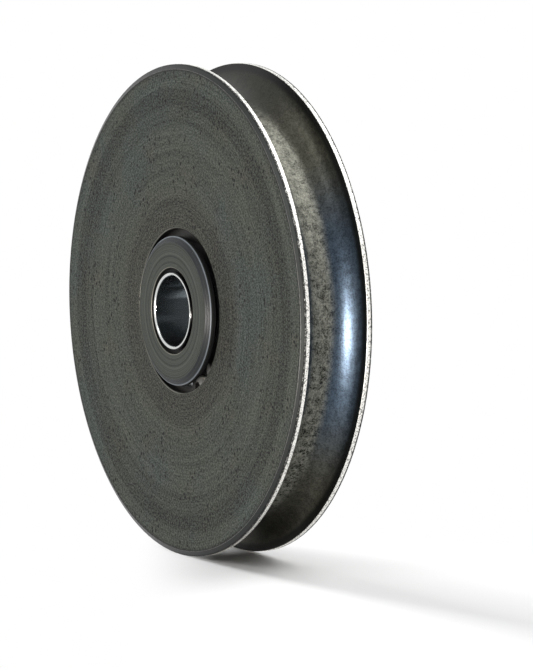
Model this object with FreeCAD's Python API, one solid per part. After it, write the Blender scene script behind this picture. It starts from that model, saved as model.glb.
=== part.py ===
"""Rope pulley: a turned steel sheave that spins on a sealed ball bearing, held on a fixed hub.

Millimetres. The axle line is Y, Z is up, and the origin is the middle of the sheave on the axle
line. The front of the pulley, where the retaining ring sits, faces -Y.
"""
import FreeCAD
import Part

import math
import os

from FreeCAD import Vector

# Sheave, turned from solid steel
SHEAVE_DIAMETER = 125.0
SHEAVE_SIDE_WALL = 4.0
RIM_LAND = 1.4
RIM_BEVEL_WIDTH = 1.3
RIM_BEVEL_DEPTH = 0.6
GROOVE_STRAIGHT = 0.4
GROOVE_LIP_ROUND = 0.25
SEAT_MOUTH_CHAMFER = 0.3
REAR_LIP_CLEARANCE = 0.5
REAR_LIP_ROUND = 0.3

# Deep groove ball bearing with two rubber seals
BEARING_BORE = 20.0
BEARING_DIAMETER = 42.0
BEARING_WIDTH = 12.0
RING_CORNER_ROUND = 0.6
BALL_TO_SECTION = 0.5773
BALL_COUNT = 9
RACE_CONFORMITY = 0.52
SHOULDER_TO_BALL = 0.6
RACE_CLEARANCE = 0.02

# Seals and the recesses they snap into
SEAL_RECESS_STEP = 1.2
SEAL_SNAP_DEPTH = 0.4
SEAL_RECESS_MOUTH = 0.4
SEAL_THICKNESS = 1.1
SEAL_WEB_THICKNESS = 0.5
SEAL_WEB_INSET = 0.1
SEAL_TRACK_DEPTH = 0.4
SEAL_LIP_THICKNESS = 0.4
SEAL_LIP_CLEARANCE = 0.08
SEAL_SEAT_CLEARANCE = 0.02

# Two-piece ribbon cage, riveted between the balls
CAGE_SHEET = 0.6
CAGE_SHOULDER_CLEARANCE = 0.6
CAGE_POCKET_CLEARANCE = 0.1
RIVET_SHANK_DIAMETER = 1.1
RIVET_HEAD_DIAMETER = 1.8
RIVET_HEAD_HEIGHT = 0.4
RIVET_HOLE_CLEARANCE = 0.02

# Internal retaining ring in front of the bearing
CIRCLIP_THICKNESS = 1.75
CIRCLIP_SIDE_PLAY = 0.1
CIRCLIP_GROOVE_DEPTH = 1.25
CIRCLIP_SEAT_CLEARANCE = 0.05
CIRCLIP_BACK_WIDTH = 4.1
CIRCLIP_END_WIDTH = 2.3
CIRCLIP_LUG_HEIGHT = 5.7
CIRCLIP_LUG_FLAT = 0.35
CIRCLIP_HOLE_DIAMETER = 2.5
CIRCLIP_GAP_WIDTH = 3.6
CIRCLIP_EDGE_ROUND = 0.15
CIRCLIP_GAP_ANGLE = 150.0

# Fixed hub: a sleeve for the axle and a flanged washer pressed on each end
SLEEVE_WALL = 1.0
SLEEVE_BORE_CHAMFER = 0.25
SLEEVE_OUTER_CHAMFER = 0.3
WASHER_OUTSTAND = 2.0
WASHER_THICKNESS = 2.2
WASHER_RIM_GAP = 2.0
WASHER_BEVEL_WIDTH = 1.65
WASHER_BEVEL_DEPTH = 1.0
WASHER_RECESS_GAP = 1.0
WASHER_RECESS_DEPTH = 1.2
WASHER_RECESS_CHAMFER = 0.15
WASHER_BOSS_STEP = 0.4
WASHER_BOSS_CHAMFER = 0.3
PRESS_CLEARANCE = 0.01

# Two places nearer than this are the same
SAME_PLACE = 1e-6

# Places worked out from the sizes above
SHEAVE_RADIUS = SHEAVE_DIAMETER / 2
BEARING_REAR = BEARING_WIDTH / 2
BEARING_FRONT = -BEARING_REAR
SHEAVE_REAR = BEARING_REAR + SHEAVE_SIDE_WALL
SHEAVE_FRONT = -SHEAVE_REAR
GROOVE_RADIUS = SHEAVE_REAR - RIM_BEVEL_DEPTH - RIM_LAND
SEAT_RADIUS = BEARING_DIAMETER / 2 + PRESS_CLEARANCE
PITCH_RADIUS = (BEARING_BORE + BEARING_DIAMETER) / 4
BALL_RADIUS = BALL_TO_SECTION * (BEARING_DIAMETER - BEARING_BORE) / 4
RACE_RADIUS = 2 * BALL_RADIUS * RACE_CONFORMITY
INNER_SHOULDER = PITCH_RADIUS - SHOULDER_TO_BALL * BALL_RADIUS
OUTER_SHOULDER = PITCH_RADIUS + SHOULDER_TO_BALL * BALL_RADIUS
SEAL_TRACK = INNER_SHOULDER - SEAL_TRACK_DEPTH
SEAL_RECESS = OUTER_SHOULDER + SEAL_RECESS_STEP
SEAL_SNAP = SEAL_RECESS + SEAL_SNAP_DEPTH
CAGE_INNER = INNER_SHOULDER + CAGE_SHOULDER_CLEARANCE
CAGE_OUTER = OUTER_SHOULDER - CAGE_SHOULDER_CLEARANCE
BALL_STEP = 360.0 / BALL_COUNT
CIRCLIP_GROOVE_RADIUS = SEAT_RADIUS + CIRCLIP_GROOVE_DEPTH
CIRCLIP_GROOVE_FRONT = BEARING_FRONT - CIRCLIP_THICKNESS - CIRCLIP_SIDE_PLAY
HUB_REAR = SHEAVE_REAR + WASHER_OUTSTAND
HUB_FRONT = -HUB_REAR
SLEEVE_RADIUS = BEARING_BORE / 2 - PRESS_CLEARANCE
WASHER_RADIUS = SEAT_RADIUS - WASHER_RIM_GAP
REAR_LIP_BORE = WASHER_RADIUS + REAR_LIP_CLEARANCE


class Corner:
    """One corner of a turned section: its radius from the axle line, its place along it, and its edge."""

    def __init__(self, radius, along, chamfer=0.0, rounding=0.0):
        self.point = Vector(radius, along, 0)
        self.chamfer = chamfer
        self.rounding = rounding

    def edge_run(self, before, after):
        """Start, middle and end of the worked edge. The middle is None for a chamfer or a sharp corner."""
        to_before = (before - self.point).normalize()
        to_after = (after - self.point).normalize()
        if self.chamfer:
            return self.point + to_before * self.chamfer, None, self.point + to_after * self.chamfer
        if self.rounding:
            half_angle = to_before.getAngle(to_after) / 2
            reach = self.rounding / math.tan(half_angle)
            bisector = (to_before + to_after).normalize()
            middle = self.point + bisector * (self.rounding / math.sin(half_angle) - self.rounding)
            return self.point + to_before * reach, middle, self.point + to_after * reach
        return self.point, None, self.point


def turned(corners):
    """Solid of revolution about the axle line, from the corners of its section in order."""
    count = len(corners)
    runs = [
        corner.edge_run(corners[index - 1].point, corners[(index + 1) % count].point)
        for index, corner in enumerate(corners)
    ]
    edges = []
    for index, (start, middle, end) in enumerate(runs):
        if middle is not None:
            edges.append(Part.Arc(start, middle, end).toShape())
        elif start.distanceToPoint(end) > 0:
            edges.append(Part.LineSegment(start, end).toShape())
        next_start = runs[(index + 1) % count][0]
        edges.append(Part.LineSegment(end, next_start).toShape())
    section = Part.Face(Part.Wire(Part.__sortEdges__(edges)))
    return section.revolve(Vector(0, 0, 0), Vector(0, 1, 0), 360)


def tube(inner_radius, outer_radius, front, rear):
    """Plain ring about the axle line, from front to rear."""
    return turned([
        Corner(inner_radius, front),
        Corner(outer_radius, front),
        Corner(outer_radius, rear),
        Corner(inner_radius, rear),
    ])


def disc(radius, front, rear, across=0.0, up=0.0):
    """Solid cylinder along the axle direction, its centre line at across, up."""
    return Part.makeCylinder(radius, rear - front, Vector(across, front, up), Vector(0, 1, 0))


def torus(ring_radius, section_radius, along):
    """Torus about the axle line."""
    return Part.makeTorus(ring_radius, section_radius, Vector(0, along, 0), Vector(0, 1, 0))


def around(shape, degrees):
    """Copy of a shape turned clockwise about the axle line, as seen from the front."""
    copy = shape.copy()
    copy.rotate(Vector(0, 0, 0), Vector(0, 1, 0), degrees)
    return copy


def ball_place(index):
    """Centre of one ball. Ball 0 is at the top."""
    angle = math.radians(index * BALL_STEP)
    return Vector(PITCH_RADIUS * math.sin(angle), 0, PITCH_RADIUS * math.cos(angle))


def save(name, shape):
    """Write one node's solid or solids to its STEP file."""
    shape.exportStep(os.path.join("parts", name + ".step"))


def make_sheave():
    """Disc with a half-round rope groove, a bearing seat, a retaining ring groove and a rear lip."""
    body = turned([
        Corner(SEAT_RADIUS, SHEAVE_FRONT, chamfer=SEAT_MOUTH_CHAMFER),
        Corner(SHEAVE_RADIUS - RIM_BEVEL_WIDTH, SHEAVE_FRONT),
        Corner(SHEAVE_RADIUS, SHEAVE_FRONT + RIM_BEVEL_DEPTH),
        Corner(SHEAVE_RADIUS, SHEAVE_REAR - RIM_BEVEL_DEPTH),
        Corner(SHEAVE_RADIUS - RIM_BEVEL_WIDTH, SHEAVE_REAR),
        Corner(REAR_LIP_BORE, SHEAVE_REAR, rounding=REAR_LIP_ROUND),
        Corner(REAR_LIP_BORE, BEARING_REAR),
        Corner(SEAT_RADIUS, BEARING_REAR),
        Corner(SEAT_RADIUS, BEARING_FRONT),
        Corner(CIRCLIP_GROOVE_RADIUS, BEARING_FRONT),
        Corner(CIRCLIP_GROOVE_RADIUS, CIRCLIP_GROOVE_FRONT),
        Corner(SEAT_RADIUS, CIRCLIP_GROOVE_FRONT),
    ])
    round_centre = SHEAVE_RADIUS - GROOVE_STRAIGHT
    round_part = torus(round_centre, GROOVE_RADIUS, 0)
    mouth = tube(round_centre, SHEAVE_RADIUS + GROOVE_RADIUS, -GROOVE_RADIUS, GROOVE_RADIUS)
    body = body.cut(round_part.fuse(mouth)).removeSplitter()
    lips = [edge for edge in body.Edges if is_groove_lip(edge)]
    return body.makeFillet(GROOVE_LIP_ROUND, lips)


def is_groove_lip(edge):
    """True for the two sharp circles where the rope groove meets the rim."""
    box = edge.BoundBox
    flat = box.YLength < SAME_PLACE
    on_rim = abs(box.XMax - SHEAVE_RADIUS) < SAME_PLACE
    return flat and on_rim and abs(abs(box.YMax) - GROOVE_RADIUS) < SAME_PLACE


def make_outer_ring():
    """Bearing ring pressed into the sheave, with its race and a snap recess for each seal."""
    outer = BEARING_DIAMETER / 2
    front_mouth = BEARING_FRONT + SEAL_RECESS_MOUTH
    rear_mouth = BEARING_REAR - SEAL_RECESS_MOUTH
    ring = turned([
        Corner(SEAL_RECESS, BEARING_FRONT),
        Corner(outer, BEARING_FRONT, rounding=RING_CORNER_ROUND),
        Corner(outer, BEARING_REAR, rounding=RING_CORNER_ROUND),
        Corner(SEAL_RECESS, BEARING_REAR),
        Corner(SEAL_RECESS, rear_mouth),
        Corner(SEAL_SNAP, rear_mouth),
        Corner(SEAL_SNAP, rear_mouth - SEAL_THICKNESS),
        Corner(OUTER_SHOULDER, rear_mouth - SEAL_THICKNESS),
        Corner(OUTER_SHOULDER, front_mouth + SEAL_THICKNESS),
        Corner(SEAL_SNAP, front_mouth + SEAL_THICKNESS),
        Corner(SEAL_SNAP, front_mouth),
        Corner(SEAL_RECESS, front_mouth),
    ])
    race_bottom = PITCH_RADIUS + BALL_RADIUS + RACE_CLEARANCE
    return ring.cut(torus(race_bottom - RACE_RADIUS, RACE_RADIUS, 0))


def make_inner_ring():
    """Bearing ring pressed onto the sleeve, with its race and a turned-down track for each seal lip."""
    bore = BEARING_BORE / 2
    track_width = SEAL_RECESS_MOUTH + SEAL_THICKNESS
    ring = turned([
        Corner(bore, BEARING_FRONT, rounding=RING_CORNER_ROUND),
        Corner(SEAL_TRACK, BEARING_FRONT),
        Corner(SEAL_TRACK, BEARING_FRONT + track_width),
        Corner(INNER_SHOULDER, BEARING_FRONT + track_width),
        Corner(INNER_SHOULDER, BEARING_REAR - track_width),
        Corner(SEAL_TRACK, BEARING_REAR - track_width),
        Corner(SEAL_TRACK, BEARING_REAR),
        Corner(bore, BEARING_REAR, rounding=RING_CORNER_ROUND),
    ])
    race_bottom = PITCH_RADIUS - BALL_RADIUS - RACE_CLEARANCE
    return ring.cut(torus(race_bottom + RACE_RADIUS, RACE_RADIUS, 0))


def make_front_seal():
    """Rubber seal: a bead in the outer ring's recess, a thin web and a lip over the inner ring."""
    bead = SEAL_SNAP - SEAL_SEAT_CLEARANCE
    lip = SEAL_TRACK + SEAL_LIP_CLEARANCE
    lip_outside = lip + SEAL_LIP_THICKNESS
    outside = BEARING_FRONT + SEAL_RECESS_MOUTH + SEAL_SEAT_CLEARANCE
    inside = BEARING_FRONT + SEAL_RECESS_MOUTH + SEAL_THICKNESS - SEAL_SEAT_CLEARANCE
    web_front = outside + SEAL_WEB_INSET
    web_rear = web_front + SEAL_WEB_THICKNESS
    return turned([
        Corner(bead, outside),
        Corner(bead, inside),
        Corner(OUTER_SHOULDER, inside),
        Corner(OUTER_SHOULDER - SEAL_WEB_THICKNESS, web_rear),
        Corner(lip_outside, web_rear),
        Corner(lip, inside),
        Corner(lip, outside),
        Corner(lip_outside, outside),
        Corner(lip_outside + SEAL_WEB_THICKNESS, web_front),
        Corner(OUTER_SHOULDER - SEAL_WEB_THICKNESS, web_front),
        Corner(OUTER_SHOULDER, outside),
    ])


def make_rear_seal(front_seal):
    """The same seal, facing the other way."""
    return front_seal.mirror(Vector(0, 0, 0), Vector(0, 1, 0))


def make_front_cage():
    """Pressed half of the cage: a flat ribbon that bulges round the front of each ball."""
    pocket_radius = BALL_RADIUS + CAGE_POCKET_CLEARANCE
    dome_radius = pocket_radius + CAGE_SHEET
    ribbon = tube(CAGE_INNER, CAGE_OUTER, -CAGE_SHEET, 0)
    space = tube(CAGE_INNER, CAGE_OUTER, -dome_radius, 0)
    domes = [Part.makeSphere(dome_radius, ball_place(i)) for i in range(BALL_COUNT)]
    pockets = [Part.makeSphere(pocket_radius, ball_place(i)) for i in range(BALL_COUNT)]
    holes = [
        around(rivet_core(CAGE_SHEET, RIVET_HOLE_CLEARANCE), (i + 0.5) * BALL_STEP)
        for i in range(BALL_COUNT)
    ]
    shaped = [dome.common(space) for dome in domes]
    half = ribbon.fuse(shaped).cut(Part.Compound(pockets)).cut(Part.Compound(holes))
    return half.removeSplitter()


def make_rear_cage(front_cage):
    """The other pressed half, facing the other way."""
    return front_cage.mirror(Vector(0, 0, 0), Vector(0, 1, 0))


def rivet_core(reach, clearance=0.0):
    """Rivet shank at the top of the pitch circle, reaching this far each side of the cage's joint."""
    radius = RIVET_SHANK_DIAMETER / 2 + clearance
    return disc(radius, -reach, reach, up=PITCH_RADIUS)


def make_rivets():
    """One rivet between each two balls, a separate solid each."""
    front = -CAGE_SHEET
    rear = CAGE_SHEET
    head_radius = RIVET_HEAD_DIAMETER / 2
    rivet = rivet_core(CAGE_SHEET).fuse([
        disc(head_radius, front - RIVET_HEAD_HEIGHT, front, up=PITCH_RADIUS),
        disc(head_radius, rear, rear + RIVET_HEAD_HEIGHT, up=PITCH_RADIUS),
    ]).removeSplitter()
    return Part.Compound([around(rivet, (i + 0.5) * BALL_STEP) for i in range(BALL_COUNT)])


def make_circlip():
    """Retaining ring, widest at its back, with a drilled lug on each side of its opening."""
    rear = BEARING_FRONT - CIRCLIP_SIDE_PLAY / 2
    front = rear - CIRCLIP_THICKNESS
    outer_radius = CIRCLIP_GROOVE_RADIUS - CIRCLIP_SEAT_CLEARANCE
    inner_radius = outer_radius - (CIRCLIP_BACK_WIDTH + CIRCLIP_END_WIDTH) / 2
    inner_shift = (CIRCLIP_BACK_WIDTH - CIRCLIP_END_WIDTH) / 2
    rim = disc(outer_radius, front, rear)
    lug_radius = CIRCLIP_LUG_HEIGHT / 2
    lug_up = outer_radius - lug_radius
    lug_across = CIRCLIP_GAP_WIDTH / 2 + lug_radius - CIRCLIP_LUG_FLAT
    blank = rim.cut(disc(inner_radius, front, rear, up=inner_shift))
    for side in (-1, 1):
        lug = disc(lug_radius, front, rear, across=side * lug_across, up=lug_up)
        blank = blank.fuse(lug.common(rim))
    blank = blank.removeSplitter()
    opening = Part.makeBox(
        CIRCLIP_GAP_WIDTH,
        CIRCLIP_THICKNESS,
        outer_radius,
        Vector(-CIRCLIP_GAP_WIDTH / 2, front, 0),
    )
    blank = blank.cut(opening)
    blank = rounded_faces(blank, front, rear)
    for side in (-1, 1):
        hole = disc(CIRCLIP_HOLE_DIAMETER / 2, front, rear, across=side * lug_across, up=lug_up)
        blank = blank.cut(hole)
    return around(blank, CIRCLIP_GAP_ANGLE)


def rounded_faces(plate, front, rear):
    """Plate with the edges of its front and rear faces rounded, as a blanked part has."""
    edges = [
        edge for edge in plate.Edges
        if edge.BoundBox.YLength < SAME_PLACE
        and min(abs(edge.BoundBox.YMin - front), abs(edge.BoundBox.YMin - rear)) < SAME_PLACE
    ]
    return plate.makeFillet(CIRCLIP_EDGE_ROUND, edges)


def make_sleeve():
    """Tube that the axle goes through, its ends level with the washers' outer faces."""
    bore = BEARING_BORE / 2 - SLEEVE_WALL
    front = HUB_FRONT
    rear = HUB_REAR
    return turned([
        Corner(bore, front, chamfer=SLEEVE_BORE_CHAMFER),
        Corner(SLEEVE_RADIUS, front, chamfer=SLEEVE_OUTER_CHAMFER),
        Corner(SLEEVE_RADIUS, rear, chamfer=SLEEVE_OUTER_CHAMFER),
        Corner(bore, rear, chamfer=SLEEVE_BORE_CHAMFER),
    ])


def make_washer(hub_face, ring_face):
    """Bevelled flange outside the sheave, with a boss that reaches in to the bearing's inner ring."""
    inward = 1 if ring_face > hub_face else -1
    bore = SLEEVE_RADIUS + PRESS_CLEARANCE
    recess = bore + WASHER_RECESS_GAP
    boss = SEAL_TRACK - WASHER_BOSS_STEP
    flange_back = hub_face + inward * WASHER_THICKNESS
    recess_floor = hub_face + inward * WASHER_RECESS_DEPTH
    return turned([
        Corner(bore, recess_floor),
        Corner(recess, recess_floor),
        Corner(recess, hub_face, chamfer=WASHER_RECESS_CHAMFER),
        Corner(WASHER_RADIUS - WASHER_BEVEL_WIDTH, hub_face),
        Corner(WASHER_RADIUS, hub_face + inward * WASHER_BEVEL_DEPTH),
        Corner(WASHER_RADIUS, flange_back),
        Corner(boss, flange_back),
        Corner(boss, ring_face, chamfer=WASHER_BOSS_CHAMFER),
        Corner(bore, ring_face),
    ])


def main():
    """Build every piece and write its file."""
    os.makedirs("parts", exist_ok=True)
    save("sheave", make_sheave())
    save("bearing_outer_ring", make_outer_ring())
    save("bearing_inner_ring", make_inner_ring())
    for index in range(BALL_COUNT):
        save("ball_%d" % (index + 1), Part.makeSphere(BALL_RADIUS, ball_place(index)))
    front_cage = make_front_cage()
    save("cage_front", front_cage)
    save("cage_rear", make_rear_cage(front_cage))
    save("cage_rivets", make_rivets())
    front_seal = make_front_seal()
    save("seal_front", front_seal)
    save("seal_rear", make_rear_seal(front_seal))
    save("circlip", make_circlip())
    save("axle_sleeve", make_sleeve())
    save("washer_front", make_washer(HUB_FRONT, BEARING_FRONT))
    save("washer_rear", make_washer(HUB_REAR, BEARING_REAR))


main()
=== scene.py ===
"""Looks of a turned steel rope pulley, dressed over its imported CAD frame.

The pulley stands on its rim on a pale floor. The axle line is Y, the front face looks along -Y
and Z is up. Lengths are in metres.
"""

import logging
import math
from dataclasses import dataclass, field
from enum import Enum
from typing import Any, Iterable, Mapping, Optional, Sequence, Union

import bpy
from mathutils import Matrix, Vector

LOG = logging.getLogger("rope_pulley")
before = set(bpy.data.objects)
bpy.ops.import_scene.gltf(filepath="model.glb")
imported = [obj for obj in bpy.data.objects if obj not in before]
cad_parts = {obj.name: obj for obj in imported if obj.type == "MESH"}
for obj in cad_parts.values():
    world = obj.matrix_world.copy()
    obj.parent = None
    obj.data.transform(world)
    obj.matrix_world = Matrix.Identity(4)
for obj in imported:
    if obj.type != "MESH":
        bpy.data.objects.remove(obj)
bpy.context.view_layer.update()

Colour = tuple[float, float, float]
PAPER_WHITE: Colour = (1.0, 1.0, 1.0)

FULL_CHANNEL = 255.0
CURVE_KNEE = 0.04045
CURVE_FOOT = 12.92
CURVE_LIFT = 0.055
CURVE_POWER = 2.4
MILLIMETRES = 1000.0
AXLE_GUARD = 0.001
SPOT_CORE = 0.45
MIDDLE = 0.5

MIX_FACTOR = 0
MIX_NUMBERS = (2, 3)
MIX_COLOURS = (6, 7)
MIX_COLOUR_RESULT = 2


class Blend(Enum):
    """Ways in which one colour is laid over another."""

    MIX = "MIX"
    MULTIPLY = "MULTIPLY"


class Reach(Enum):
    """How a lamp shows: in light and mirror images, in light alone, or in mirror images alone."""

    ALL = "all"
    DULL = "dull"
    GLOSS = "gloss"


def linear(red: int, green: int, blue: int) -> Colour:
    """Turn a colour written as on a paint chart into the shader's own numbers.

    Args:
        red: Red, 0 to 255.
        green: Green, 0 to 255.
        blue: Blue, 0 to 255.

    Returns:
        The same colour in linear light.
    """
    def channel(value: int) -> float:
        """Linear light of one channel.

        Args:
            value: The channel, 0 to 255.

        Returns:
            Its part of full light.
        """
        part = value / FULL_CHANNEL
        if part <= CURVE_KNEE:
            return part / CURVE_FOOT
        return ((part + CURVE_LIFT) / (1.0 + CURVE_LIFT)) ** CURVE_POWER

    return channel(red), channel(green), channel(blue)


class Wire:
    """One output socket, on which sums can be written as plain expressions."""

    def __init__(self, sheet: "NodeSheet", socket: bpy.types.NodeSocket) -> None:
        """Hold a socket.

        Args:
            sheet: The node sheet that the socket is on.
            socket: The output socket.
        """
        self.sheet = sheet
        self.socket = socket

    def _math(self, operation: str, *values: Any) -> "Wire":
        """Add one Math node.

        Args:
            operation: The node's operation.
            values: Wires or numbers for its sockets, in order.

        Returns:
            The node's result.
        """
        return self.sheet.add("ShaderNodeMath", {"operation": operation}, dict(enumerate(values)))

    def __add__(self, other: Any) -> "Wire":
        """Sum."""
        return self._math("ADD", self, other)

    __radd__ = __add__

    def __sub__(self, other: Any) -> "Wire":
        """Difference."""
        return self._math("SUBTRACT", self, other)

    def __rsub__(self, other: Any) -> "Wire":
        """Difference, the other way round."""
        return self._math("SUBTRACT", other, self)

    def __mul__(self, other: Any) -> "Wire":
        """Product."""
        return self._math("MULTIPLY", self, other)

    __rmul__ = __mul__

    def __truediv__(self, other: Any) -> "Wire":
        """Quotient."""
        return self._math("DIVIDE", self, other)

    def __rtruediv__(self, other: Any) -> "Wire":
        """Quotient, the other way round."""
        return self._math("DIVIDE", other, self)

    def __abs__(self) -> "Wire":
        """Size without sign."""
        return self._math("ABSOLUTE", self)

    def root(self) -> "Wire":
        """Square root."""
        return self._math("SQRT", self)

    def step(self, start: float, end: float) -> "Wire":
        """Smooth mask that is 0 up to one value and 1 from the other, which may be the lower.

        Args:
            start: The value at which the mask starts to rise.
            end: The value at which it is full.

        Returns:
            The mask, 0 to 1.
        """
        return self.sheet.add(
            "ShaderNodeMapRange",
            {"interpolation_type": "SMOOTHSTEP", "clamp": True},
            {"Value": self, "From Min": start, "From Max": end, "To Min": 0.0, "To Max": 1.0},
        )


@dataclass(frozen=True)
class Cloud:
    """Cloudy noise: clouds per unit, octaves, and how strong the finer octaves are."""

    scale: float
    detail: float = 3.0
    rough: float = 0.5


@dataclass(frozen=True)
class Spots:
    """Scattered spots: cells per unit, radius against the cell, and a shift of the pattern."""

    scale: float
    size: float
    shift: float = 0.0


@dataclass(frozen=True)
class Veil:
    """How a value becomes a mask: where it starts, where it is full, and how much then shows."""

    start: float
    full: float
    share: float = 1.0

    def over(self, value: Wire, base: float = 0.0) -> Wire:
        """Lay the veil over a value.

        Args:
            value: The value, such as a radius or a noise.
            base: The place that start and full are counted from.

        Returns:
            The mask, 0 to the veil's share.
        """
        mask = value.step(base + self.start, base + self.full)
        return mask if self.share == 1.0 else mask * self.share


class NodeSheet:
    """The node tree of one material or of the surroundings, with one way to add each node."""

    def __init__(self, name: str, surroundings: Optional[bpy.types.World] = None) -> None:
        """Start a material, or the node tree of the surroundings.

        Args:
            name: The material's name.
            surroundings: The world that the nodes are for, where they are not for a material.
        """
        self.material = surroundings or bpy.data.materials.new(name)
        self.material.use_nodes = True
        self.tree = self.material.node_tree
        self.tree.nodes.clear()
        kind = "ShaderNodeOutputWorld" if surroundings else "ShaderNodeOutputMaterial"
        self.output = self.tree.nodes.new(kind)

    def add(
        self,
        kind: str,
        settings: Optional[Mapping[str, Any]] = None,
        inputs: Optional[Mapping[Union[int, str], Any]] = None,
        result: Union[int, str] = 0,
    ) -> Wire:
        """Add one node: its settings first, then its sockets.

        Args:
            kind: The node's type.
            settings: Its settings by name.
            inputs: Wires or values, by the socket's number or name.
            result: The output socket to hand back.

        Returns:
            The chosen output.
        """
        node = self.tree.nodes.new(kind)
        for name, value in (settings or {}).items():
            setattr(node, name, value)
        for key, value in (inputs or {}).items():
            socket = node.inputs[key]
            if isinstance(value, Wire):
                self.tree.links.new(value.socket, socket)
            elif isinstance(value, tuple) and socket.type == "RGBA":
                socket.default_value = (*value[:3], 1.0)
            else:
                socket.default_value = value
        return Wire(self, node.outputs[result])

    def mix(self, under: Any, over: Any, mask: Any, blend: Blend = Blend.MIX) -> Wire:
        """Lay one colour over another.

        Args:
            under: Wire or colour below.
            over: Wire or colour above.
            mask: How much of the upper one shows.
            blend: How it is laid on.

        Returns:
            The mixed colour.
        """
        return self.add(
            "ShaderNodeMix",
            {"data_type": "RGBA", "blend_type": blend.value, "clamp_factor": True},
            {MIX_FACTOR: mask, **dict(zip(MIX_COLOURS, (under, over)))},
            result=MIX_COLOUR_RESULT,
        )

    def between(self, first: Wire, second: Wire, mask: Wire) -> Wire:
        """Number that goes from one value to another.

        Args:
            first: The value where the mask is 0.
            second: The value where it is 1.
            mask: The mask.

        Returns:
            The number.
        """
        return self.add(
            "ShaderNodeMix",
            {"data_type": "FLOAT"},
            {MIX_FACTOR: mask, **dict(zip(MIX_NUMBERS, (first, second)))},
        )

    def shaded(self, colour: Any, tone: Wire) -> Wire:
        """The colour made lighter or darker by a tone, where 1 leaves it."""
        return self.mix(colour, self.vector(tone, tone, tone), 1.0, Blend.MULTIPLY)

    def place(self) -> Wire:
        """Place on the pulley, in metres, as it stands at rest."""
        return self.add("ShaderNodeTexCoord", result="Object")

    def radial(self) -> tuple[Wire, Wire, Wire, Wire]:
        """Millimetres from the axle line and along it, and the two directions round it.

        Returns:
            Radius, signed place along the axle, and X and Z over the radius.
        """
        parts = self.add("ShaderNodeSeparateXYZ", inputs={0: self.place()})
        node = parts.socket.node
        across, along, up = (Wire(self, socket) * MILLIMETRES for socket in node.outputs)
        radius = (across * across + up * up).root()
        guarded = radius + AXLE_GUARD
        return radius, along, across / guarded, up / guarded

    def vector(self, x: Any, y: Any, z: Any) -> Wire:
        """Vector from three wires or numbers."""
        return self.add("ShaderNodeCombineXYZ", inputs={0: x, 1: y, 2: z})

    def noise(self, at: Wire, cloud: Cloud) -> Wire:
        """Cloudy noise, 0 to 1.

        Args:
            at: The vector that it is read at.
            cloud: The kind of noise.

        Returns:
            The noise.
        """
        return self.add(
            "ShaderNodeTexNoise",
            {"noise_dimensions": "3D"},
            {"Vector": at, "Scale": cloud.scale, "Detail": cloud.detail, "Roughness": cloud.rough},
        )

    def moved(self, at: Wire, by: float) -> Wire:
        """The vector moved along all three axes, so that a pattern is read elsewhere."""
        return self.add("ShaderNodeVectorMath", {"operation": "ADD"}, {0: at, 1: (by, by, by)})

    def spots(self, at: Wire, spots: Spots) -> Wire:
        """Scattered small spots.

        Args:
            at: The vector that they are read at.
            spots: The kind of spots.

        Returns:
            Mask, 1 in a spot.
        """
        if spots.shift:
            at = self.moved(at, spots.shift)
        distance = self.add(
            "ShaderNodeTexVoronoi", {"feature": "F1"}, {"Vector": at, "Scale": spots.scale}
        )
        return distance.step(spots.size, spots.size * SPOT_CORE)

    def surface(self, **sockets: Any) -> bpy.types.Material:
        """Finish the material with one Principled shader.

        Args:
            sockets: Values or wires by the socket's name, with _ for a space.

        Returns:
            The material.
        """
        named = {name.replace("_", " "): value for name, value in sockets.items()}
        self.finish(self.add("ShaderNodeBsdfPrincipled", inputs=named))
        return self.material

    def finish(self, shader: Wire) -> None:
        """Lead a shader to the surface."""
        self.tree.links.new(shader.socket, self.output.inputs["Surface"])

    def seen(self) -> Wire:
        """Mask of what the camera sees straight, in a mirror or through glass.

        Returns:
            The mask, 1 where it is seen.
        """
        node = self.add("ShaderNodeLightPath").socket.node
        straight, mirrored, through = (
            Wire(self, node.outputs[f"Is {ray} Ray"]) for ray in ("Camera", "Glossy", "Transmission")
        )
        return straight + mirrored + through

    def bump(self, height: Wire, depth: float, strength: float) -> Wire:
        """Relief normal.

        Args:
            height: Height, 0 to 1.
            depth: Metres from 0 to 1.
            strength: How much of it shows.

        Returns:
            The normal.
        """
        return self.add(
            "ShaderNodeBump", inputs={"Strength": strength, "Distance": depth, "Height": height}
        )


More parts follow.
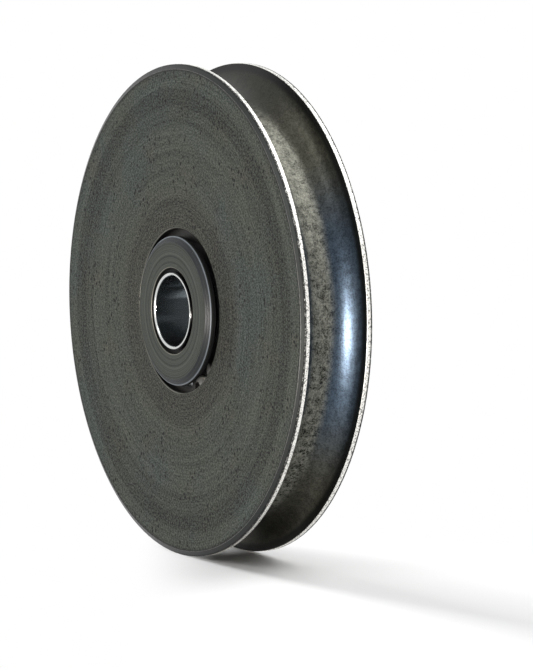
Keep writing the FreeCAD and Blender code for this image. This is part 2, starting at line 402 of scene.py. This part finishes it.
@dataclass(frozen=True)
class TurnedSteel:
    """Dark, oily turned steel: pitted flat faces, bright rim lands with a painted highlight, a rope-worn
    groove, and painted shade in the bearing seat with a painted highlight at its mouth.

    Radii and places along the axle are in millimetres. Veils named for an edge count from it.
    """

    face: Colour = linear(65, 69, 61)
    face_brown: Colour = linear(75, 72, 62)
    face_green: Colour = linear(62, 70, 69)
    pit: Colour = linear(14, 15, 14)
    glint: Colour = linear(104, 105, 98)
    # Dark colour for dirt on the lands, dark lines at the rim's edges, and painted shade along the
    # groove's lips.
    dirt_and_shade: Colour = linear(34, 36, 35)
    # Bright turned land, whitened further by a painted highlight.
    land_painted_highlight: Colour = linear(244, 243, 238)
    bevel: Colour = linear(52, 54, 53)
    # The walls' blue, and the brown that replaces it at the top and bottom, are a painted reflection tint.
    wall: Colour = linear(64, 76, 89)
    wall_brown: Colour = linear(82, 81, 72)
    track: Colour = linear(141, 141, 131)
    # Painted shade over the top of the groove.
    crown_painted_shade: Colour = linear(34, 35, 33)
    # Painted shade in the bearing seat.
    seat_painted_shade: Colour = linear(10, 10, 11)
    # Painted highlight on the seat's mouth.
    seat_edge_painted_highlight: Colour = linear(120, 120, 112)

    rim_radius: float = 62.5
    bevel_radius: float = 61.2
    face_along: float = 10.0
    land_along: float = 9.4
    groove_along: float = 8.0
    seat_radius: float = 21.0
    crown_north: float = 0.93

    face_start: Veil = Veil(-0.1, -0.03)
    seat_shade: Veil = Veil(1.6, 0.9)
    seat_corner: Veil = Veil(-0.1, 0.05)
    seat_mouth: Veil = Veil(9.5, 9.7)
    land_start: Veil = Veil(-0.12, -0.04)
    bevel_start: Veil = Veil(-0.06, 0.06)
    bevel_side: Veil = Veil(-0.1, 0.0)
    corner_rise: Veil = Veil(-0.5, -0.28)
    corner_fall: Veil = Veil(0.22, 0.08)
    # Painted shade along the groove's lips.
    lip_painted_shade: Veil = Veil(-0.3, -0.05, 0.9)
    # Dark ring on the face just inside the rim bevel.
    bevel_ring_darkening: Veil = Veil(-0.55, -0.2, 0.85)
    crown_shade: Veil = Veil(-0.1, 0.05, 0.7)

    cloud: Cloud = Cloud(38.0, 4.0, 0.6)
    stain: Cloud = Cloud(95.0, 5.0, 0.65)
    grain: Cloud = Cloud(2300.0, 2.0, 0.8)
    grit: Cloud = Cloud(480.0, 5.0, 0.8)
    salt: Cloud = Cloud(1900.0, 2.0, 0.85)
    ring: Cloud = Cloud(3.4, 5.0, 0.75)
    broad: Cloud = Cloud(0.2, 2.0, 0.5)
    broad_slice: tuple[float, float] = (7.0, 4.0)
    arc: Cloud = Cloud(1.0, 4.0, 0.7)
    arc_across: float = 2.0
    arc_round: float = 1.6
    wander: Cloud = Cloud(1.0)
    wander_round: float = 3.0
    wander_reach: float = 1.4
    streak: Cloud = Cloud(1.0, 5.0, 0.75)
    streak_across: float = 2.2
    streak_round: float = 5.0

    pits: Spots = Spots(560.0, 0.34)
    pits_in: Veil = Veil(0.45, 0.55)
    specks: Spots = Spots(1150.0, 0.36, 0.31)
    specks_in: Veil = Veil(0.4, 0.56)
    specks_share: float = 0.7
    glints: Spots = Spots(980.0, 0.2, 0.77)
    glints_in: Veil = Veil(0.56, 0.44)

    green: Veil = Veil(0.44, 0.66, 0.6)
    brown: Veil = Veil(0.5, 0.74, 0.5)
    hub_brown: Veil = Veil(36.0, 24.0, 0.45)
    ring_tone: Veil = Veil(0.35, 0.65, 0.5)
    broad_tone: Veil = Veil(0.35, 0.65, 0.45)
    arc_tone: Veil = Veil(0.3, 0.7, 0.5)
    salt_tone: Veil = Veil(0.38, 0.62, 1.3)
    grain_tone: float = 0.3
    plate_tone: float = -0.73
    bright_rings: Veil = Veil(0.52, 0.58)
    bright_near_hub: Veil = Veil(34.0, 22.0)
    bright_share: float = 0.4

    track_width: Veil = Veil(4.2, 1.6)
    track_share: float = 0.95
    wall_grit: Veil = Veil(0.35, 0.65, 0.35)
    wall_streak: float = 0.4
    wall_grain: Veil = Veil(0.38, 0.62, 0.4)
    wall_tone: float = 0.25
    wall_painted_reflection_ends: Veil = Veil(0.3, 0.75)
    track_grit: Veil = Veil(0.38, 0.62, 0.7)
    track_streak: float = 0.5
    track_grain: Veil = Veil(0.4, 0.6, 0.5)
    # Painted light: the rope track is lighter towards the top.
    track_painted_top_light: float = 0.28
    track_tone: float = -0.16
    land_dirt: Veil = Veil(0.5, 0.62, 0.8)
    # Darkening along the land's outer corner, uneven with the grain.
    corner_darkening: Veil = Veil(0.3, 0.5, 0.4)
    corner_share: float = 0.6

    ring_height: float = 0.35
    arc_height: float = 0.2
    speck_height: float = 0.5
    grain_height: float = 0.35
    relief_depth: float = 0.00008
    relief_strength: float = 0.75
    wall_rough: float = 0.3
    track_rough: float = 0.25
    grit_rough: float = 0.1
    face_rough: float = 0.44
    grain_rough: float = 0.14
    land_rough: float = 0.08
    specular: float = 0.15
    metallic: float = 0.85
    face_dullness: float = 0.6

    def material(self) -> bpy.types.Material:
        """Build the finish.

        Returns:
            The material.
        """
        sheet = NodeSheet("turned_steel_dark")
        radius, along, east, north = sheet.radial()
        at = sheet.place()
        offside = abs(along)
        face = self.face_start.over(offside, self.face_along)
        # Mask of the painted shade in the bearing seat.
        seat_painted_shade_mask = self.seat_shade.over(radius, self.seat_radius)
        cloud = sheet.noise(at, self.cloud)
        stain = sheet.noise(at, self.stain)
        grain = sheet.noise(at, self.grain)
        grit = sheet.noise(at, self.grit)
        plate, plate_height = self._plate(sheet, (radius, east, north), (cloud, stain, grain))
        groove, track = self._groove(sheet, (offside, east, north), grit, grain)
        colour = sheet.mix(groove, plate, face)
        rim, land_painted_highlight = self._rim(sheet, radius, offside, grain)
        colour = sheet.mix(colour, rim[0], rim[1])
        # Mask of the painted highlight on the seat's mouth.
        painted_edge_highlight = seat_painted_shade_mask * self.seat_corner.over(radius, self.seat_radius)
        # Painted shade in the bearing seat.
        colour = sheet.mix(colour, self.seat_painted_shade, seat_painted_shade_mask * (1.0 - face))
        colour = sheet.mix(colour, self.seat_edge_painted_highlight, painted_edge_highlight * (1.0 - face) * self.seat_mouth.over(offside))
        rough = sheet.between(
            self.wall_rough + track * self.track_rough + grit * self.grit_rough,
            self.face_rough + grain * self.grain_rough,
            face,
        )
        height = plate_height * face + track * grit * (1.0 - face) + grain * self.grain_height
        return sheet.surface(
            Base_Color=colour,
            Specular_IOR_Level=self.specular,
            # Non-metal in the bearing seat, as part of its painted shade.
            Metallic=(self.metallic - face * self.face_dullness) * (1.0 - seat_painted_shade_mask * (1.0 - face)),
            Roughness=rough + land_painted_highlight * self.land_rough,
            Normal=sheet.bump(height, self.relief_depth, self.relief_strength),
        )

    def _plate(
        self, sheet: NodeSheet, place: tuple[Wire, Wire, Wire], clouds: tuple[Wire, Wire, Wire]
    ) -> tuple[Wire, Wire]:
        """Colour and relief of the flat faces.

        Args:
            sheet: The node sheet.
            place: Radius, and the two directions round the axle.
            clouds: Broad, middle and fine noise.

        Returns:
            Colour and height.
        """
        radius, east, north = place
        cloud, stain, grain = clouds
        at = sheet.place()
        rings = sheet.noise(sheet.vector(radius, 0.0, 0.0), self.ring)
        broad = sheet.noise(sheet.vector(radius, *self.broad_slice), self.broad)
        round_axle = (east * self.arc_round, north * self.arc_round)
        arcs = sheet.noise(sheet.vector(radius * self.arc_across, *round_axle), self.arc)
        pits = sheet.spots(at, self.pits) * self.pits_in.over(stain)
        specks = sheet.spots(at, self.specks) * self.specks_in.over(cloud)
        glints = sheet.spots(at, self.glints) * self.glints_in.over(stain)
        colour = sheet.mix(self.face, self.face_green, self.green.over(cloud))
        colour = sheet.mix(colour, self.face_brown, self.brown.over(stain) + self.hub_brown.over(radius))
        tone = self.ring_tone.over(rings) + self.broad_tone.over(broad) + self.arc_tone.over(arcs)
        tone = tone + self.salt_tone.over(sheet.noise(at, self.salt)) + grain * self.grain_tone
        colour = sheet.shaded(colour, tone + self.plate_tone)
        colour = sheet.mix(colour, self.pit, pits)
        colour = sheet.mix(colour, self.pit, specks * self.specks_share)
        turned = self.bright_rings.over(rings) * self.bright_near_hub.over(radius)
        colour = sheet.mix(colour, self.glint, turned * self.bright_share)
        colour = sheet.mix(colour, self.glint, glints)
        # A dark ring on the face just inside the rim bevel.
        colour = sheet.mix(colour, self.dirt_and_shade, self.bevel_ring_darkening.over(radius, self.bevel_radius))
        height = rings * self.ring_height + arcs * self.arc_height - pits - specks * self.speck_height
        return colour, height

    def _groove(
        self, sheet: NodeSheet, place: tuple[Wire, Wire, Wire], grit: Wire, grain: Wire
    ) -> tuple[Wire, Wire]:
        """Colour of the groove: rubbed grey where the rope runs, dark and glossy up the walls, with a
        painted reflection tint on the walls, painted light that makes the track lighter at the top, and
        painted shade at the top and along the lips.

        Args:
            sheet: The node sheet.
            place: Distance from the middle, and the two directions round the axle.
            grit: Middle noise.
            grain: Fine noise.

        Returns:
            Colour and the mask of the rope track.
        """
        offside, east, north = place
        round_axle = (east * self.wander_round, north * self.wander_round)
        wander = (sheet.noise(sheet.vector(*round_axle, 0.0), self.wander) - MIDDLE) * self.wander_reach
        track = self.track_width.over(offside + wander)
        round_axle = (east * self.streak_round, north * self.streak_round)
        streak = sheet.noise(sheet.vector(offside * self.streak_across, *round_axle), self.streak)
        tone = self.wall_grit.over(grit) + streak * self.wall_streak + self.wall_grain.over(grain)
        # Painted reflection tint: blue at the sides of the walls, brown at the top and bottom.
        painted_reflection_tint = sheet.mix(self.wall, self.wall_brown, self.wall_painted_reflection_ends.over(abs(north)))
        wall = sheet.shaded(painted_reflection_tint, tone + self.wall_tone)
        tone = self.track_grit.over(grit) + streak * self.track_streak + self.track_grain.over(grain)
        # Painted light: the track is lighter towards the top.
        rubbed = sheet.shaded(self.track, tone + north * self.track_painted_top_light + self.track_tone)
        colour = sheet.mix(wall, rubbed, track * self.track_share)
        # Painted shade over the top of the groove.
        colour = sheet.mix(colour, self.crown_painted_shade, self.crown_shade.over(north, self.crown_north))
        # Painted shade along the groove's lips.
        return sheet.mix(colour, self.dirt_and_shade, self.lip_painted_shade.over(offside, self.groove_along)), track

    def _rim(
        self, sheet: NodeSheet, radius: Wire, offside: Wire, grain: Wire
    ) -> tuple[tuple[Wire, Wire], Wire]:
        """Bright lands with a painted highlight, their dark edges and the bevels beside them.

        Args:
            sheet: The node sheet.
            radius: Distance from the axle line.
            offside: Distance from the middle.
            grain: Fine noise.

        Returns:
            Colour with its mask, and the mask of the lands alone.
        """
        land_painted_highlight = self.land_start.over(radius, self.rim_radius)
        bevel = self.bevel_start.over(radius, self.bevel_radius)
        bevel = bevel * self.bevel_side.over(offside, self.land_along)
        # A darker line along the land's outer corner.
        corner = self.corner_rise.over(offside, self.land_along)
        corner = corner * self.corner_fall.over(offside, self.land_along)
        # Land colour whitened by a painted highlight, with dirt from the grain.
        bright = sheet.mix(self.land_painted_highlight, self.dirt_and_shade, self.land_dirt.over(grain))
        colour = sheet.mix(bright, self.bevel, bevel * (1.0 - land_painted_highlight))
        colour = sheet.mix(
            colour, self.dirt_and_shade, corner * (self.corner_darkening.over(grain) + self.corner_share)
        )
        return (colour, self._either(land_painted_highlight, bevel)), land_painted_highlight

    @staticmethod
    def _either(first: Wire, second: Wire) -> Wire:
        """Mask that is full where one of two masks is."""
        return 1.0 - (1.0 - first) * (1.0 - second)


@dataclass(frozen=True)
class PlainSteel:
    """A steel finish with turning marks round the axle line."""

    name: str
    colour: Colour
    roughness: float
    metallic: float = 0.9
    rings: float = 0.3
    specks: float = 0.3
    coarse: float = 4.0

    pit: Colour = linear(34, 35, 35)
    grain: Cloud = Cloud(1400.0, 3.0, 0.7)
    cloud: Cloud = Cloud(150.0, 4.0, 0.6)
    marks_detail: float = 4.0
    marks_rough: float = 0.7
    pits: Spots = Spots(900.0, 0.25)
    pits_in: Veil = Veil(0.45, 0.65)
    marks_tone: Veil = Veil(0.3, 0.7)
    grain_tone: float = 0.25
    cloud_tone: float = 0.2
    plain_tone: float = 0.78
    mean_mark: float = 0.5
    marks_spread: float = 0.14
    grain_spread: float = 0.06
    polish: float = 0.1
    grain_height: float = 0.2
    relief_depth: float = 0.00009
    relief_strength: float = 0.7
    specular: float = 0.2

    def material(self) -> bpy.types.Material:
        """Build the finish.

        Returns:
            The material.
        """
        sheet = NodeSheet(self.name)
        radius, along, _, _ = sheet.radial()
        at = sheet.place()
        turning = Cloud(self.coarse, self.marks_detail, self.marks_rough)
        marks = sheet.noise(sheet.vector(radius, along, 0.0), turning)
        grain = sheet.noise(at, self.grain)
        cloud = sheet.noise(at, self.cloud)
        pits = sheet.spots(at, self.pits) * self.pits_in.over(cloud) * self.specks
        tone = self.marks_tone.over(marks) * self.rings + grain * self.grain_tone
        tone = tone + cloud * self.cloud_tone + (self.plain_tone - self.rings * self.mean_mark)
        colour = sheet.mix(sheet.shaded(self.colour, tone), self.pit, pits)
        colour, shine = self._edges(sheet, colour, radius, abs(along))
        rough = marks * self.marks_spread + grain * self.grain_spread
        height = marks * self.rings + grain * self.grain_height - pits
        return sheet.surface(
            Base_Color=colour,
            Specular_IOR_Level=self.specular,
            Metallic=self.metallic,
            Roughness=rough + (self.roughness - self.polish) - shine * self.polish,
            Normal=sheet.bump(height, self.relief_depth, self.relief_strength),
        )

    def _edges(
        self, sheet: NodeSheet, colour: Wire, radius: Wire, offside: Wire
    ) -> tuple[Wire, Union[Wire, float]]:
        """Leave the colour as it is: a plain finish has no worked edges.

        Args:
            sheet: The node sheet; not used.
            colour: The finish's colour.
            radius: Distance from the axle line; not used.
            offside: Distance from the middle; not used.

        Returns:
            Colour, and a mask of what shines more.
        """
        return colour, 0.0


@dataclass(frozen=True)
class WasherSteel(PlainSteel):
    """Turned washer: ringed face, dark bevel with a painted highlight on its rim, a painted highlight on
    the recess edge, and painted shade in the recess and below the flange.
    """

    bevel: Colour = linear(34, 37, 41)
    # Painted highlight on the bevel's rim.
    painted_edge_highlight: Colour = linear(112, 118, 124)
    # Painted shade in the recess and below the flange.
    below_painted_shade: Colour = linear(8, 8, 9)
    # Painted highlight on the recess edge.
    recess_painted_highlight: Colour = linear(128, 126, 116)
    bevel_inner: float = 17.36
    recess_radius: float = 11.0
    bevel_start: Veil = Veil(-0.04, 0.1)
    bevel_share: float = 0.85
    above_face: Veil = Veil(10.96, 11.02)
    rim_edge: Veil = Veil(18.62, 18.8)
    recess_start: Veil = Veil(0.03, -0.02)
    recess_ring: Veil = Veil(0.24, 0.1)
    recess_mouth: Veil = Veil(11.84, 11.88)
    under_flange: Veil = Veil(10.9, 10.3)

    def _edges(
        self, sheet: NodeSheet, colour: Wire, radius: Wire, offside: Wire
    ) -> tuple[Wire, Union[Wire, float]]:
        """Darken the bevel, paint shade in the recess and below the flange, and paint highlights on two
        edges.

        Args:
            sheet: The node sheet.
            colour: The finish's colour.
            radius: Distance from the axle line.
            offside: Distance from the middle.

        Returns:
            Colour, and a mask of what shines more.
        """
        above = self.above_face.over(offside)
        lit = self.bevel_start.over(radius, self.bevel_inner) * above
        colour = sheet.mix(colour, self.bevel, lit * self.bevel_share)
        # Painted highlight on the bevel's rim.
        colour = sheet.mix(colour, self.painted_edge_highlight, self.rim_edge.over(radius) * above)
        # Painted shade in the recess.
        colour = sheet.mix(colour, self.below_painted_shade, self.recess_start.over(radius, self.recess_radius))
        ring = self.recess_ring.over(radius, self.recess_radius) * self.recess_mouth.over(offside)
        # Painted highlight on the recess edge.
        colour = sheet.mix(colour, self.recess_painted_highlight, ring)
        # Painted shade below the flange.
        return sheet.mix(colour, self.below_painted_shade, self.under_flange.over(offside)), lit


@dataclass(frozen=True)
class SleeveSteel(PlainSteel):
    """Ground sleeve: bright ends with painted shade on the outside edge, and painted shade in the bore."""

    # Painted shade in the bore.
    bore_painted_shade: Colour = linear(106, 111, 114)
    bore_radius: float = 9.0
    bore_start: Veil = Veil(0.14, 0.04)
    bore_share: float = 0.9
    # Painted shade on the sleeve's outside edge.
    rim: Colour = linear(8, 8, 8)
    rim_radius: float = 9.68
    rim_painted_shade_start: Veil = Veil(-0.06, 0.04)

    def _edges(
        self, sheet: NodeSheet, colour: Wire, radius: Wire, offside: Wire
    ) -> tuple[Wire, Union[Wire, float]]:
        """Paint shade in the bore and on the outside edge.

        Args:
            sheet: The node sheet.
            colour: The finish's colour.
            radius: Distance from the axle line.
            offside: Distance from the middle; not used.

        Returns:
            Colour, and a mask of what shines more.
        """
        inside = self.bore_start.over(radius, self.bore_radius)
        # Painted shade on the outside edge.
        colour = sheet.mix(colour, self.rim, self.rim_painted_shade_start.over(radius, self.rim_radius))
        # Painted shade in the bore.
        return sheet.mix(colour, self.bore_painted_shade, inside * self.bore_share), inside


@dataclass(frozen=True)
class RingSteel(PlainSteel):
    """Dark spring steel with a painted highlight on its lug tips."""

    # Painted highlight on the lug tips.
    tip_painted_highlight: Colour = linear(214, 214, 208)
    tip_radius: float = 19.5
    tip_start: Veil = Veil(0.5, 0.0)
    gap_east: float = 0.5
    gap_north: float = -0.866
    near_gap: Veil = Veil(0.965, 0.985)

    def _edges(
        self, sheet: NodeSheet, colour: Wire, radius: Wire, offside: Wire
    ) -> tuple[Wire, Union[Wire, float]]:
        """Paint a highlight on the lug tips.

        Args:
            sheet: The node sheet.
            colour: The finish's colour.
            radius: Distance from the axle line.
            offside: Distance from the middle; not used.

        Returns:
            Colour, and a mask of what shines more.
        """
        _, _, east, north = sheet.radial()
        near_gap = self.near_gap.over(east * self.gap_east + north * self.gap_north)
        # Painted highlight on the lug tips, fixed beside the ring's gap.
        tip_painted_highlight = self.tip_start.over(radius, self.tip_radius) * near_gap
        return sheet.mix(colour, self.tip_painted_highlight, tip_painted_highlight), tip_painted_highlight


@dataclass(frozen=True)
class SealRubber:
    """Black moulded rubber with a faint bloom."""

    colour: Colour = linear(30, 30, 31)
    bloom_colour: Colour = linear(54, 52, 49)
    bloom: Cloud = Cloud(260.0, 4.0, 0.6)
    bloom_veil: Veil = Veil(0.45, 0.75, 0.6)
    roughness: float = 0.5
    roughness_spread: float = 0.2
    relief_depth: float = 0.00002
    relief_strength: float = 0.4

    def material(self) -> bpy.types.Material:
        """Build the finish.

        Returns:
            The material.
        """
        sheet = NodeSheet("seal_rubber_black")
        bloom = sheet.noise(sheet.place(), self.bloom)
        return sheet.surface(
            Base_Color=sheet.mix(self.colour, self.bloom_colour, self.bloom_veil.over(bloom)),
            Roughness=bloom * self.roughness_spread + self.roughness,
            Normal=sheet.bump(bloom, self.relief_depth, self.relief_strength),
        )


@dataclass
class Dressing:
    """Gives one CAD node its finish."""

    nodes: Sequence[str]
    finish: Union[TurnedSteel, PlainSteel, SealRubber]

    def dress(self) -> None:
        """Put the finish on each node."""
        material = self.finish.material()
        for name in self.nodes:
            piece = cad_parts[name]
            piece.data.materials.clear()
            piece.data.materials.append(material)
            LOG.info("%s has %s", name, material.name)


@dataclass
class SheaveWheel:
    """The turned disc with its rope groove."""

    finish: TurnedSteel = field(default_factory=TurnedSteel)

    def build(self) -> None:
        """Dress the disc."""
        Dressing(["sheave"], self.finish).dress()


@dataclass
class FixedHub:
    """The sleeve and the two flanged washers that stay still on the axle."""

    washer: WasherSteel = WasherSteel(
        "washer_steel_turned", linear(55, 59, 53),
        roughness=0.5, metallic=0.12, rings=1.8, specks=1.0, coarse=3.4,
    )
    sleeve: SleeveSteel = SleeveSteel(
        "sleeve_steel_ground", linear(206, 208, 206), roughness=0.2, metallic=0.95, rings=0.2, specks=0.1
    )

    def build(self) -> None:
        """Dress the sleeve and washers."""
        Dressing(["washer_front", "washer_rear"], self.washer).dress()
        Dressing(["axle_sleeve"], self.sleeve).dress()


@dataclass
class BallBearing:
    """The sealed bearing between hub and disc, with its retaining ring."""

    ball_count: int = 9
    race: PlainSteel = PlainSteel(
        "bearing_steel_ground", linear(172, 174, 176), roughness=0.22, metallic=1.0, rings=0.15, specks=0.1
    )
    ball: PlainSteel = PlainSteel(
        "ball_steel_polished", linear(214, 216, 220), roughness=0.12, metallic=1.0, rings=0.02, specks=0.0
    )
    cage: PlainSteel = PlainSteel(
        "cage_steel_pressed", linear(158, 156, 150), roughness=0.34, metallic=0.95, rings=0.1, specks=0.2
    )
    ring: RingSteel = RingSteel(
        "retaining_steel_dark", linear(44, 43, 41), roughness=0.4, metallic=0.6, rings=0.1, specks=0.3
    )

    def build(self) -> None:
        """Dress the bearing and the retaining ring."""
        Dressing(["bearing_outer_ring", "bearing_inner_ring"], self.race).dress()
        Dressing([f"ball_{index + 1}" for index in range(self.ball_count)], self.ball).dress()
        Dressing(["cage_front", "cage_rear", "cage_rivets"], self.cage).dress()
        Dressing(["circlip"], self.ring).dress()
        Dressing(["seal_front", "seal_rear"], SealRubber()).dress()


@dataclass
class Panel:
    """One soft rectangular lamp that looks at a point."""

    name: str
    place: tuple[float, float, float]
    width: float
    height: float
    power: float
    aim: tuple[float, float, float] = (0.0, 0.0, 0.0)
    colour: Colour = PAPER_WHITE
    reach: Reach = Reach.ALL

    def build(self) -> None:
        """Add the lamp."""
        data = bpy.data.lights.new(self.name, "AREA")
        data.shape = "RECTANGLE"
        data.size = self.width
        data.size_y = self.height
        data.energy = self.power
        data.color = self.colour
        lamp = bpy.data.objects.new(self.name, data)
        bpy.context.scene.collection.objects.link(lamp)
        lamp.location = self.place
        lamp.visible_glossy = self.reach is not Reach.DULL
        lamp.visible_diffuse = self.reach is not Reach.GLOSS
        direction = Vector(self.aim) - Vector(self.place)
        lamp.rotation_euler = direction.to_track_quat("-Z", "Y").to_euler()


@dataclass
class Studio:
    """Floor, surroundings, lamps and camera."""

    floor_level: float = -0.0625
    azimuth: float = 60.956
    elevation: float = 5.124
    distance: float = 1.0
    lens: float = 211.286
    shift_x: float = 0.07985
    shift_y: float = -0.03746
    surroundings: float = 0.3
    floor_half: float = 6.0
    floor_paleness: float = 0.84
    sensor_width: float = 36.0
    clip_start: float = 0.01
    clip_end: float = 50.0
    far_off: Veil = Veil(0.13, 0.5)
    left_axes: tuple[float, float] = (0.487, 0.873)
    left_off: Veil = Veil(0.002, -0.02)
    behind_slope: float = 0.45
    behind_off: Veil = Veil(0.012, 0.06)
    panels: Sequence[Panel] = (
        Panel(
            "low_front_card", (0.17, -0.25, -0.04), width=0.1, height=0.024, power=3.3,
            colour=(1.0, 0.93, 0.87), reach=Reach.GLOSS,
        ),
        Panel("high_front_window", (-0.1, -1.1, 0.6), width=0.7, height=0.7, power=4.0),
        Panel("high_back_window", (0.3, 0.6, 1.1), width=1.0, height=1.0, power=10.0),
        Panel("rear_window", (-0.3, 1.2, 0.5), width=0.8, height=0.8, power=6.0),
        Panel(
            "side_window", (-1.3, -0.16, 0.62), width=0.45, height=0.25, power=24.0, reach=Reach.DULL
        ),
    )

    def build(self) -> None:
        """Set up the studio."""
        scene = bpy.context.scene
        scene.view_settings.view_transform = "Standard"
        self._surroundings(scene)
        self._floor()
        for panel in self.panels:
            panel.build()
        self._camera(scene)

    def _surroundings(self, scene: bpy.types.Scene) -> None:
        """Plain soft light all round, white where it is seen, mirrored or looked at through glass.

        Args:
            scene: The scene.
        """
        world = bpy.data.worlds.new("studio_surroundings")
        scene.world = world
        sheet = NodeSheet("studio_surroundings", world)
        dim, white = (
            sheet.add("ShaderNodeBackground", inputs={"Color": PAPER_WHITE, "Strength": strength})
            for strength in (self.surroundings, 1.0)
        )
        sheet.finish(sheet.add("ShaderNodeMixShader", inputs={0: sheet.seen(), 1: dim, 2: white}))

    def _floor(self) -> None:
        """Pale floor that keeps the pulley's main shadow, and is seen as white everywhere else.

        The masks lie fixed on the floor: far from the pulley, at its left, and behind it.
        """
        half = self.floor_half
        mesh = bpy.data.meshes.new("studio_floor")
        corners = [(-half, -half, 0.0), (half, -half, 0.0), (half, half, 0.0), (-half, half, 0.0)]
        mesh.from_pydata(corners, [], [(0, 1, 2, 3)])
        floor = bpy.data.objects.new("studio_floor", mesh)
        floor.location = (0.0, 0.0, self.floor_level)
        bpy.context.scene.collection.objects.link(floor)
        sheet = NodeSheet("studio_floor_white")
        parts = sheet.add("ShaderNodeSeparateXYZ", inputs={0: sheet.place()}).socket.node
        across, along = Wire(sheet, parts.outputs[0]), Wire(sheet, parts.outputs[1])
        far = self.far_off.over((across * across + along * along).root())
        left = self.left_off.over(across * self.left_axes[0] + along * self.left_axes[1])
        behind = self.behind_off.over(along - across * self.behind_slope)
        shaded = (1.0 - far) * (1.0 - left) * (1.0 - behind)
        grey = (self.floor_paleness,) * 3
        plain = sheet.add("ShaderNodeBsdfDiffuse", inputs={"Color": grey})
        white = sheet.add("ShaderNodeEmission", inputs={"Color": PAPER_WHITE, "Strength": 1.0})
        mask = sheet.seen() * (1.0 - shaded)
        sheet.finish(sheet.add("ShaderNodeMixShader", inputs={0: mask, 1: plain, 2: white}))
        mesh.materials.append(sheet.material)

    def _camera(self, scene: bpy.types.Scene) -> None:
        """Camera at the photograph's viewing angle.

        Args:
            scene: The scene.
        """
        turn = math.radians(self.azimuth)
        rise = math.radians(self.elevation)
        back = Vector((
            math.sin(turn) * math.cos(rise),
            -math.cos(turn) * math.cos(rise),
            math.sin(rise),
        ))
        data = bpy.data.cameras.new("studio_camera")
        data.lens = self.lens
        data.sensor_width = self.sensor_width
        data.shift_x = self.shift_x
        data.shift_y = self.shift_y
        data.clip_start = self.clip_start
        data.clip_end = self.clip_end
        camera = bpy.data.objects.new("studio_camera", data)
        camera.location = back * self.distance
        camera.rotation_euler = back.to_track_quat("Z", "Y").to_euler()
        scene.collection.objects.link(camera)
        scene.camera = camera


def keep_sizes() -> None:
    """Define, and leave unused, a helper that turns a box into plain lists."""
    def plain(box: Iterable[Iterable[float]]) -> list[list[float]]:
        """The box as plain lists."""
        return [[float(value) for value in corner] for corner in box]


def main() -> None:
    """Build the pulley's looks and the studio, in order."""
    logging.basicConfig(level=logging.INFO)
    for assembly in (SheaveWheel(), FixedHub(), BallBearing(), Studio()):
        assembly.build()
        LOG.info("%s is built", type(assembly).__name__)
    keep_sizes()


if __name__ == "__main__":
    main()
